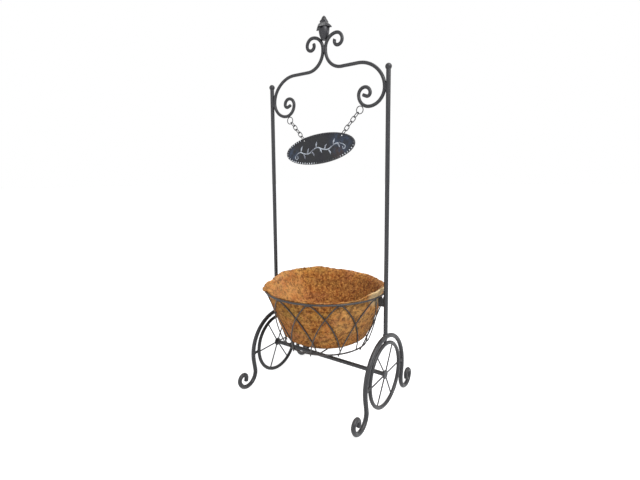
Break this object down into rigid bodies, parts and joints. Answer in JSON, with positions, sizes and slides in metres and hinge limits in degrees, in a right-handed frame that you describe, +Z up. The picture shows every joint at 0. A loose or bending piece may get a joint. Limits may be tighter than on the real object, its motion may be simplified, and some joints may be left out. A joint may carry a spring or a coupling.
{
  "type": "plant stand",
  "caption": "Tall scrolled metal plant stand on two fixed wheels, with a wire basket, coco liner and a hanging oval sign.",
  "frame": {"origin": "on the floor under the middle of the frame, halfway between the posts", "axes": "+X from the left wheel to the right wheel, -Y towards the front, +Z up"},
  "size_m": [0.3754, 0.3324, 0.9887],
  "materials": {
    "frame_paint": "satin charcoal paint on bent steel rod",
    "basket_wire": "satin charcoal paint on thin wire",
    "coir": "pressed coconut fibre",
    "chain_metal": "dark painted wire",
    "sign_face": "weathered slate paint",
    "sign_edge": "worn paint on a raised bead"
  },
  "bodies": {
    "frame": {"left_post": "frame_paint", "left_post_cap": "frame_paint", "left_leg": "frame_paint", "left_wheel_rim": "frame_paint", "left_hub": "frame_paint", "left_spoke_1": "frame_paint", "left_spoke_2": "frame_paint", "left_spoke_3": "frame_paint", "left_spoke_4": "frame_paint", "left_spoke_5": "frame_paint", "left_spoke_6": "frame_paint", "left_wheel_studs": "frame_paint", "left_rim_hook": "frame_paint", "left_hook_ring": "chain_metal", "right_post": "frame_paint", "right_post_cap": "frame_paint", "right_leg": "frame_paint", "right_wheel_rim": "frame_paint", "right_hub": "frame_paint", "right_spoke_1": "frame_paint", "right_spoke_2": "frame_paint", "right_spoke_3": "frame_paint", "right_spoke_4": "frame_paint", "right_spoke_5": "frame_paint", "right_spoke_6": "frame_paint", "right_wheel_studs": "frame_paint", "right_rim_hook": "frame_paint", "right_hook_ring": "chain_metal", "axle": "frame_paint", "right_top_scroll": "frame_paint", "left_top_scroll": "frame_paint", "finial": "frame_paint"},
    "basket": {"basket_rim": "basket_wire", "basket_bottom_ring": "basket_wire", "basket_arch_01": "basket_wire", "basket_arch_02": "basket_wire", "basket_arch_03": "basket_wire", "basket_arch_04": "basket_wire", "basket_arch_05": "basket_wire", "basket_arch_06": "basket_wire", "basket_arch_07": "basket_wire", "basket_arch_08": "basket_wire", "basket_arch_09": "basket_wire", "basket_arch_10": "basket_wire", "basket_arch_11": "basket_wire", "basket_floor_wires": "basket_wire"},
    "liner": {"coco_liner": "coir"},
    "sign_chains": {"left_chain_link_1": "chain_metal", "left_chain_link_2": "chain_metal", "left_chain_link_3": "chain_metal", "left_chain_link_4": "chain_metal", "left_chain_link_5": "chain_metal", "right_chain_link_1": "chain_metal", "right_chain_link_2": "chain_metal", "right_chain_link_3": "chain_metal", "right_chain_link_4": "chain_metal", "right_chain_link_5": "chain_metal"},
    "sign": {"sign_board": "sign_face", "sign_bead": "sign_edge"}
  },
  "joints": [
    {"name": "basket_swing", "type": "hinge", "parent": "frame", "child": "basket", "pos_m": [0, 0, 0.29], "axis": [1, 0, 0], "range_deg": [-12, 12]},
    {"name": "liner_lift", "type": "slide", "parent": "basket", "child": "liner", "axis": [0, 0, 1], "range_m": [0, 0.15]},
    {"name": "chain_swing", "type": "hinge", "parent": "frame", "child": "sign_chains", "pos_m": [-0.10997, 0, 0.7335], "axis": [0.9995, 0, 0.0302], "range_deg": [-20, 20]},
    {"name": "sign_rock", "type": "hinge", "parent": "sign_chains", "child": "sign", "pos_m": [-0.06738, 0, 0.68441], "axis": [0.9985, 0, 0.0556], "range_deg": [-10, 10]}
  ]
}
